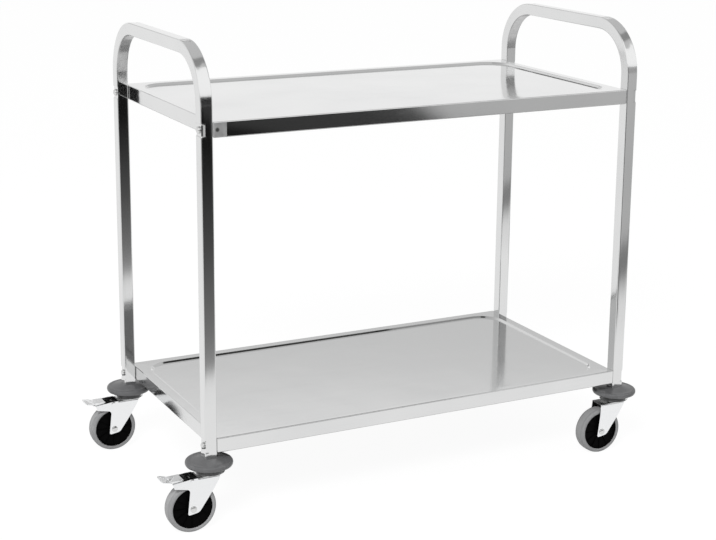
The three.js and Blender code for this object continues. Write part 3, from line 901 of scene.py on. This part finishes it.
wheel = {
    "tyreThickness": 9 * mm,
    "tyreSides": 112,
    "treadShares": [(0.0, 0.93), (0.12, 0.99), (0.3, 1.0), (0.55, 0.985), (0.72, 0.94), (0.86, 0.84),
                    (0.95, 0.68), (0.99, 0.45), (1.0, 0.2)],
    "coreWidth": 26 * mm,
    "coreSides": 96,
    "axle": 4 * mm,
    "axleGap": 0.3 * mm,
    "hub": 10 * mm,
    "hubEdge": 0.6 * mm,
    "hubFoot": 1 * mm,
    "webDepth": 3 * mm,  # of the web below the rim's face
    "rimStep": 2.5 * mm,
    "rimFoot": (1.5 * mm, 1.2 * mm),
    "rimCorner": (0.9 * mm, 0.4 * mm),
    "rimEdge": (0.3 * mm, 0.4 * mm),
    "ribs": 12,
    "ribWidth": 1.6 * mm,
    "ribSink": 0.6 * mm,  # below the rim's face
    "ribOverlap": 0.5 * mm,  # into the hub and the rim
    "ribEdge": 0.4 * mm,
}


def turnWheelPart(side, centre, sides):  # half of a section, mirrored and turned about the axle
    profile = [(radius, -out) for radius, out in side] + [(radius, out) for radius, out in reversed(side)]
    return turnProfile(profile + [profile[0]], sides, "Y", centre)


def makeTyre():
    low, high = localBox("tyre_front_left")
    centre = (low + high) / 2
    half = high.y - centre.y
    seat = (high.z - low.z) / 2 - wheel["tyreThickness"]
    side = [(seat + up * wheel["tyreThickness"], out * half) for up, out in wheel["treadShares"]]
    piece = turnWheelPart(side, centre, wheel["tyreSides"])
    smooth(piece, angle=50, weighted=False)
    return piece


def makeCore():
    low, high = localBox("wheel_core_front_left")
    centre = (low + high) / 2
    half = wheel["coreWidth"] / 2
    rim = (high.z - low.z) / 2
    bead = rim - wheel["rimStep"]
    hub, edge, foot = wheel["hub"], wheel["hubEdge"], wheel["hubFoot"]
    web = half - wheel["webDepth"]
    hubHalf = (high.y - low.y) / 2
    footIn, footUp = wheel["rimFoot"]
    cornerIn, cornerDown = wheel["rimCorner"]
    edgeIn, edgeDown = wheel["rimEdge"]
    side = [
        (wheel["axle"] + wheel["axleGap"], hubHalf),
        (hub - edge, hubHalf),
        (hub, hubHalf - edge),
        (hub + foot, web + foot),
        (hub + 2 * foot, web),
        (bead - footIn, web),
        (bead, web + footUp),
        (bead + cornerDown, half - cornerDown),
        (bead + cornerIn, half),
        (rim - edgeIn, half),
        (rim, half - edgeDown),
    ]
    piece = turnWheelPart(side, centre, wheel["coreSides"])
    reach = (bead - hub) / 2
    ribs = []
    for number in range(wheel["ribs"]):
        turn = Matrix.Translation(centre) @ Matrix.Rotation(2 * math.pi * number / wheel["ribs"], 4, "Y")
        rib = openPrimitive(bpy.ops.mesh.primitive_cube_add, size=1)
        size = (2 * (reach + wheel["ribOverlap"]), 2 * (half - wheel["ribSink"]), wheel["ribWidth"])
        bpy.ops.transform.resize(value=size)
        bpy.ops.transform.translate(value=(hub + reach, 0, 0))
        bpy.ops.object.mode_set(mode="OBJECT")
        rib.data.transform(turn)
        softenEdges(rib, wheel["ribEdge"])
        ribs.append(rib)
    clearSelection()
    for part in [piece] + ribs:
        part.select_set(True)
    bpy.context.view_layer.objects.active = piece
    bpy.ops.object.join()
    smooth(piece, angle=35, weighted=False)
    return piece


placeOnStems(makeTyre(), "tyre", "rubber", "wheel", "grey_tyre", tyreRubber)
placeOnStems(makeCore(), "wheel_core", "moulding", "wheel", "black_plastic", blackPlastic)
print("bumpers, races and wheels turned")

fork = {
    "sheet": 2.5 * mm,
    "bend": 4 * mm,  # outer radius between plate and crown
    "bendSteps": 5,
    "crownSteps": 6,
    "edge": 0.5 * mm,
    "crownBack": 44 * mm,
    "crownFront": 24 * mm,
    "notch": 30 * mm,  # behind the stem, where a braked fork's crown ends
    "plateFront": 15.5 * mm,
    "frontDrop": 6 * mm,  # below the crown, where the plate's front edge starts to lean
    "elbow": (-1 * mm, 80 * mm, 14 * mm),
    "tipBack": (-52 * mm, 38.2 * mm, 5 * mm),
    "tipFront": (-28 * mm, 42.2 * mm, 5 * mm),
    "armReach": 81 * mm,
    "armFall": 4.5 * mm,
    "armEnd": 11 * mm,
    "armLean": 3 * mm,
    "armRoot": 21.5 * mm,
    "armRound": 6 * mm,
    "armTipRound": 1.5 * mm,
}


def makeFork(braked):
    high = localBox("fork_front_left")[1]
    half = high.y
    crown = high.z
    shoulder = crown - fork["bend"]
    front = fork["plateFront"]
    back = -fork["notch"] if braked else -fork["crownBack"]
    tipX, tipZ = fork["tipBack"][:2]
    corners = [fork["tipBack"], fork["tipFront"], fork["elbow"], (front, crown - fork["frontDrop"], 0),
               (front, shoulder, 0), (back, shoulder, 0)]
    if braked:
        root = crown - fork["armRoot"]
        slant = (root - tipZ) / (crown - tipZ)
        rootX = tipX + (-fork["crownBack"] - tipX) * slant
        end = -fork["armReach"]
        endTop = crown - fork["armFall"]
        tipRound = fork["armTipRound"]
        corners += [
            (back, crown, 0),
            (-fork["crownBack"], crown, 0),
            (end, endTop, tipRound),
            (end + fork["armLean"], endTop - fork["armEnd"], tipRound),
            (rootX, root, fork["armRound"]),
        ]
    piece = drawOutline(corners, level=-half)
    pick("EDGE", lambda at, heading: abs(at.z - shoulder) < together and abs(heading.x) > mm)
    centre = (0, fork["bend"] - half, shoulder)
    bpy.ops.mesh.spin(steps=fork["bendSteps"], angle=math.pi / 2, center=centre, axis=(1, 0, 0))
    inner = half - fork["bend"]
    steps = fork["crownSteps"]
    for step in range(steps):
        extrudeEdges(y=inner / steps)
    for step in range(steps + 1):
        y = -inner + inner * step / steps
        reach = math.sqrt(fork["crownFront"] ** 2 - y ** 2)
        pick("VERT", lambda at, normal: abs(at.y - y) < near and abs(at.x - front) < near
             and at.z > crown - 2 * near)
        bpy.ops.transform.translate(value=(reach - front, 0, 0))
    closeEdit()
    modify(piece, "MIRROR", use_axis=(False, True, False), use_clip=True, merge_threshold=2 * together)
    modify(piece, "SOLIDIFY", thickness=fork["sheet"], offset=-1, use_even_offset=True)
    softenEdges(piece, fork["edge"], angle=50)
    smooth(piece, angle=35)
    return piece


braked = [place for place in stems if place.endswith("left")]
plain = [place for place in stems if place.endswith("right")]
placeOnStems(makeFork(True), "fork", "plate", "swivel", "zinc_plate", forkPlate, braked)
placeOnStems(makeFork(False), "fork", "plate", "swivel", "zinc_plate", forkPlate, plain)
print("forks folded")


axleBolt = {
    "height": 2.5 * mm,
    "edge": 0.6 * mm,
    "shank": wheel["axle"],
    "point": 0.6 * mm,
    "tip": 3.4 * mm,
    "soften": 0.2 * mm,
    "sides": 40,
    "nutChamfer": 0.8 * mm,
}
brakePin = {
    "height": 1.2 * mm,
    "edge": 0.4 * mm,
    "shank": 2.5 * mm,
    "sides": 32,
}
axleNut = makeNut(localBox("axle_nut_front_left"), "Y", axleBolt)
axleMaster = makeHeaded(localBox("axle_bolt_front_left"), "Y", axleBolt)
pinMaster = makeHeaded(localBox("brake_pin_front_left"), "Y", brakePin)
placeOnStems(axleMaster, "axle_bolt", "turned", "swivel", "bright_hardware", brightNickel)
placeOnStems(axleNut, "axle_nut", "turned", "swivel", "bright_hardware", brightNickel)
placeOnStems(pinMaster, "brake_pin", "turned", "swivel", "bright_hardware", zincPlate, braked)

for place in stems:
    for kind in ("socket_plate", "king_bolt"):
        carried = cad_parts[f"{kind}_{place}"]
        carried.data.materials.clear()
        carried.data.materials.append(brightNickel)
print("axles and pins fitted")

pedal = {
    "sheet": 2 * mm,
    "narrow": 15 * mm,  # half of the width between the fork's plates
    "tread": 62 * mm,  # places behind the pivot
    "knee": 43 * mm,
    "plateEnd": 18 * mm,
    "treadRise": 9 * mm,
    "kneeRise": 5 * mm,
    "plateRise": 6 * mm,
    "treadRound": 8 * mm,
    "shoulderRound": 1.5 * mm,
    "eye": 6 * mm,
    "eyeShare": 0.999,  # of the eye, the rounding of its corners, which don't quite meet
    "bore": 2.8 * mm,
    "flangeEnd": 40 * mm,
    "flangeToe": 2 * mm,
    "toeRound": 1 * mm,
    "flangeDrop": 7 * mm,
    "dropRound": 3 * mm,
    "shoeBack": 19.5 * mm,
    "shoe": 3 * mm,
    "hole": 3 * mm,
    "holeBack": 45 * mm,
    "holeSides": 24,
    "edge": 0.35 * mm,
}


def highestPicked():
    form = bmesh.from_edit_mesh(bpy.context.edit_object.data)
    return max(vertex.co.z for vertex in form.verts if vertex.select)


def tipEnd(start, reach, lift):  # swings what lies behind a line on the plate, and back past it if it sank
    pick("VERT", lambda at, normal: at.x < start.x - near)
    before = highestPicked()
    angle = math.atan2(lift, reach)
    bpy.ops.transform.rotate(value=angle, orient_axis="Y", center_override=start)
    if (highestPicked() - before) * lift < 0:
        bpy.ops.transform.rotate(value=-2 * angle, orient_axis="Y", center_override=start)


def makePedal():
    pivot = middle("brake_pin_front_left") - firstStem
    low, high = localBox("brake_pedal_front_left")
    wide = (high.y - low.y) / 2
    narrow = pedal["narrow"]
    tip, knee, end = (pivot.x - pedal[name] for name in ("tread", "knee", "plateEnd"))
    top = pivot.z + pedal["kneeRise"]
    corner, shoulder = pedal["treadRound"], pedal["shoulderRound"]
    plan = [(tip, -wide, corner), (knee, -wide, shoulder), (knee, -narrow, 0), (end, -narrow, 0),
            (end, narrow, 0), (knee, narrow, 0), (knee, wide, shoulder), (tip, wide, corner)]
    plate = drawOutline(plan, "XY", top)
    bpy.ops.mesh.select_all(action="SELECT")
    bpy.ops.mesh.extrude_region_move(TRANSFORM_OT_translate={"value": (0, 0, -pedal["sheet"])})
    bpy.ops.mesh.select_all(action="SELECT")
    bpy.ops.mesh.bisect(plane_co=(knee, 0, top), plane_no=(1, 0, 0))
    tipEnd(Vector((knee, 0, top)), knee - tip, pedal["treadRise"] - pedal["kneeRise"])
    pick("VERT", lambda at, normal: at.x > end - mm)
    bpy.ops.transform.translate(value=(0, 0, pedal["plateRise"] - pedal["kneeRise"]))
    closeEdit()

    back, toe = pivot.x - pedal["flangeEnd"], pivot.z - pedal["flangeToe"]
    eye = pedal["eye"]
    eyeRound = eye * pedal["eyeShare"]
    inside = pedal["sheet"] / 2  # how far the flanges and the shoe reach up into the plate
    side = [
        (back, top - inside, 0),
        (back, toe, pedal["toeRound"]),
        (end, pivot.z - pedal["flangeDrop"], pedal["dropRound"]),
        (pivot.x, pivot.z - eye, 0),
        (pivot.x + eye, pivot.z - eye, eyeRound),
        (pivot.x + eye, pivot.z + eye, eyeRound),
        (pivot.x, pivot.z + eye, 0),
        (end, top + pedal["plateRise"] - pedal["kneeRise"] - inside, 0),
    ]
    flange = drawOutline(side, "XZ", -narrow)
    bpy.ops.mesh.select_all(action="SELECT")
    bpy.ops.mesh.extrude_region_move(TRANSFORM_OT_translate={"value": (0, pedal["sheet"], 0)})
    closeEdit()
    modify(flange, "MIRROR", use_axis=(False, True, False), use_mirror_merge=False)

    shoeEnd = pivot.x - pedal["shoeBack"]
    shoeSize = Vector((pedal["shoe"], 2 * narrow - pedal["sheet"], top - inside - low.z))
    shoeAt = (shoeEnd - shoeSize.x / 2, 0, low.z + shoeSize.z / 2)
    shoe = openPrimitive(bpy.ops.mesh.primitive_cube_add, size=1, location=shoeAt)
    bpy.ops.transform.resize(value=shoeSize, center_override=shoeAt)
    closeEdit()
    holeAt = Vector((pivot.x - pedal["holeBack"], 0, 0))
    sides = pedal["holeSides"]
    hole = turnProfile([(pedal["hole"], low.z), (pedal["hole"], high.z + mm)], sides, "Z", holeAt, True)
    bore = turnProfile([(pedal["bore"], -wide), (pedal["bore"], wide)], sides, "Y", pivot, True)
    for cutter, operation in ((flange, "UNION"), (shoe, "UNION"), (hole, "DIFFERENCE"), (bore, "DIFFERENCE")):
        modify(plate, "BOOLEAN", object=cutter, operation=operation, solver="EXACT")
        bpy.data.objects.remove(cutter)
    softenEdges(plate, pedal["edge"], angle=50)
    smooth(plate, angle=35)
    return plate


placeOnStems(makePedal(), "brake_pedal", "pressed", "brake", "zinc_plate", zincPlate, braked)
print("brake pedals pressed")


# Studio: a pale floor, soft light, and what the polished faces see around them

studio = {
    "floorSize": 30,
    "shadow": 0.16,  # how much of the floor's own light and shade the camera sees
    "seenWhite": 1.12,  # what the camera sees of the rest, so that the lit floor ends up white
    "ambient": 0.44,
    "floorColour": 0.7,
    "keyPlace": (-2.2, -2.6, 3.2),
    "keyPower": 105,
    "keySize": 1.3,
    "keyAim": (0, 0, 0.4),
    "reach": 6,  # metres ahead of the trolley that the floor's tones cover
    "ahead": [(0.90, 0.93), (1.06, 0.86), (1.16, 0.30), (1.40, 0.20), (1.67, 0.15), (2.19, 0.08),
              (2.87, 0.042), (3.40, 0.02), (3.77, 0.006)],  # (metres in front, tone)
    "middleTone": 0.045,
    "middleFrom": 1.26,  # metres to the right, where the dark far floor lightens a little
    "middleAhead": 3.0,
    "left": [(0.90, 0.93), (2.0, 0.78), (3.2, 0.55), (6.0, 0.62)],  # (metres in front, tone) left of the dark
    "beside": [(1.3, 0.93), (1.7, 0.30), (2.3, 0.36), (3.4, 0.60), (6.0, 0.72)],  # (metres right, tone)
    "right": [(0.90, 0.9), (1.22, 0.84), (1.36, 0.50), (1.44, 0.21), (1.68, 0.21), (1.80, 0.50), (6.0, 0.54)],
    "nearTo": 0.9,  # metres in front, where the tones beside the trolley end
    "rightLine": (0.683, 0.376),  # edges on the floor: metres to the right, and metres more for each ahead
    "leftLine": (-0.85, 0.30),
    "aisleLines": ((0, -0.6), (0.85, -0.30)),
    "aisleFrom": 3.3,
    "boxTone": 1.08,
    "boxFoot": 24,  # degrees above the horizon in front, where the overhead soft box starts
    "bankPlace": (0.6, -1.5, 1.312),  # of the light bank that hangs in front, below the soft box
    "bankSize": (7, 0.475),
    "boxCut": (50, 52),  # degrees round to the right and up, past which the soft box ends
    "boxTop": 68,
    "dark": (13, 29),  # degrees round to either side, of the dark in front
    "darkTop": 14,
    "darkTone": 0.012,
    "dimTone": 0.16,  # of the same sector above its dark
    "frontTone": 0.4,
    "patch": (52, 92, 71, 91),  # degrees round to the right and up, of a dark patch overhead
    "patchTone": 0.3,
    "back": [(0, 0.95), (11, 0.95), (15, 0.62), (18.5, 0.64), (21.5, 0.9), (40, 0.82),
             (60, 0.55), (90, 0.42)],
    "gap": (25, 31),  # degrees up, of the dark between the backdrop and the ceiling
    "gapFrom": 157,  # degrees round, where it starts
    "gapTone": 0.08,
    "rightUp": 0.15,  # where the ceiling starts to the right: metres to the side for each metre behind
    "ceilingTone": 0.6,
}


def toneRamp(graph, stops, reach, value):  # a ramp of plain tones over a range of real values
    shares = [(place / reach, grey(tone)) for place, tone in stops]
    return graph.node("ValToRGB", {"stops": shares}, {0: value / reach})


def floorTone(graph):  # what glossy faces see of the floor: white near the trolley, dark further in front
    place = graph.split(graph.place())
    ahead, across = -place.output("Y"), place.output("X")

    def rightOf(line):
        return across > ahead * line[1] + line[0]

    def ramp(name, value):
        return toneRamp(graph, studio[name], studio["reach"], value)

    farMiddle = (ahead > studio["middleAhead"]) * (across > studio["middleFrom"])
    aisleLeft, aisleRight = studio["aisleLines"]
    aisle = rightOf(aisleLeft) * (1 - rightOf(aisleRight)) * (ahead > studio["aisleFrom"])
    left = (1 - rightOf(studio["leftLine"])) * (1 - aisle)
    tone = graph.mixColour(farMiddle, ramp("ahead", ahead), grey(studio["middleTone"]))
    tone = graph.mixColour(left, tone, ramp("left", ahead))
    tone = graph.mixColour(rightOf(studio["rightLine"]), tone, ramp("right", ahead))
    return graph.mixColour(ahead < studio["nearTo"], tone, ramp("beside", across))


def makeFloor():
    clearSelection()
    bpy.ops.mesh.primitive_plane_add(size=studio["floorSize"], location=(0, 0, 0))
    floor = bpy.context.object
    floor.name = "floor"
    material, graph = newMaterial("pale floor")
    camera, glossy = graph.rays()
    matt = graph.node("BsdfDiffuse", {}, {"Color": grey(studio["floorColour"])})
    white = graph.node("Emission", {}, {"Color": grey(1), "Strength": studio["seenWhite"]})
    seen = graph.node("MixShader", {}, {0: camera * (1 - studio["shadow"]), 1: matt, 2: white})
    tone = graph.node("Emission", {}, {"Color": floorTone(graph), "Strength": 1.0})
    graph.finish(graph.node("MixShader", {}, {0: glossy, 1: seen, 2: tone}))
    floor.data.materials.append(material)


def makeWorld():
    world = bpy.data.worlds.new("studio")
    bpy.context.scene.world = world
    world.use_nodes = True
    graph = Graph(world.node_tree)
    heading = graph.split(graph.place("Generated"))
    x, y, z = heading.output("X"), heading.output("Y"), heading.output("Z")
    degrees = 180 / math.pi
    zenith = 90
    over = z.math("ARCTAN2", -y) * degrees  # 0 is the horizon in front, 90 is up, 180 is behind
    around = x.math("ARCTAN2", -y) * degrees  # 0 is straight in front, 90 is to the right
    up = z.math("ARCSINE") * degrees
    rightUp = (x > y * studio["rightUp"]) * (up > studio["gap"][0])
    gap = (up < studio["gap"][1]) * (abs(around) > studio["gapFrom"])
    ceiling = gap * (studio["gapTone"] - studio["ceilingTone"]) + studio["ceilingTone"]
    behind = toneRamp(graph, studio["back"], zenith, up) * (1 - rightUp) + rightUp * ceiling
    cut = (around > studio["boxCut"][0]) * (over > studio["boxCut"][1])
    box = (over > studio["boxFoot"]) * (over < studio["boxTop"]) * (1 - cut)
    overhead = (over > studio["boxTop"]) + (over < -zenith) + cut * (over < studio["boxTop"])
    front = (over > -zenith) * (over < studio["boxFoot"])
    dark = (abs(around) > studio["dark"][0]) * (abs(around) < studio["dark"][1])
    dim = (over > studio["darkTop"]) * studio["dimTone"] + studio["darkTone"]
    left, right, low, high = studio["patch"]
    patch = (around > left) * (around < right) * (over > low) * (over < high)
    above = behind + patch * (studio["patchTone"] - behind)
    ahead = dark * dim + (1 - dark) * studio["frontTone"]
    tone = box * studio["boxTone"] + overhead * above + front * ahead
    camera, glossy = graph.rays()
    strength = camera + glossy * tone + (1 - camera - glossy) * studio["ambient"]
    shader = graph.node("Background", {}, {"Color": grey(1), "Strength": strength})
    graph.finish(shader, "World")


def makeBank():  # only polished faces see it
    clearSelection()
    place = studio["bankPlace"]
    bpy.ops.mesh.primitive_plane_add(size=1, location=place, rotation=(math.pi / 2, 0, 0))
    bank = bpy.context.object
    bank.name = "light_bank"
    bank.scale = (*studio["bankSize"], 1)
    for rays in ("camera", "diffuse", "shadow", "transmission", "volume_scatter"):
        setattr(bank, "visible_" + rays, False)
    material, graph = newMaterial("light bank")
    graph.finish(graph.node("Emission", {}, {"Color": grey(1), "Strength": studio["boxTone"]}))
    bank.data.materials.append(material)


def makeKey():
    light = bpy.data.lights.new("key", "AREA")
    light.energy = studio["keyPower"]
    light.size = studio["keySize"]
    key = bpy.data.objects.new("key", light)
    key.location = studio["keyPlace"]
    aim = Vector(studio["keyAim"]) - key.location
    key.rotation_euler = aim.to_track_quat("-Z", "Y").to_euler()
    key.visible_glossy = False
    bpy.context.scene.collection.objects.link(key)


view = {
    "lens": 80.86,
    "shiftY": -50 / 716,  # of the photograph's width
    "yaw": 26.98,
    "pitch": 13.69,
    "roll": 0.51,
    "place": (-1.520, -2.968, 1.331),
}


def makeCamera():
    lens = bpy.data.cameras.new("camera")
    lens.lens = view["lens"]
    lens.shift_y = view["shiftY"]
    camera = bpy.data.objects.new("camera", lens)
    turn = Matrix.Rotation(math.radians(-view["yaw"]), 4, "Z")
    tilt = Matrix.Rotation(math.radians(90 - view["pitch"]), 4, "X")
    roll = Matrix.Rotation(math.radians(view["roll"]), 4, "Z")
    camera.matrix_world = Matrix.Translation(view["place"]) @ turn @ tilt @ roll
    bpy.context.scene.collection.objects.link(camera)
    bpy.context.scene.camera = camera


makeFloor()
makeWorld()
makeBank()
makeKey()
makeCamera()
bpy.context.scene.view_settings.view_transform = "Standard"
print("studio lit")
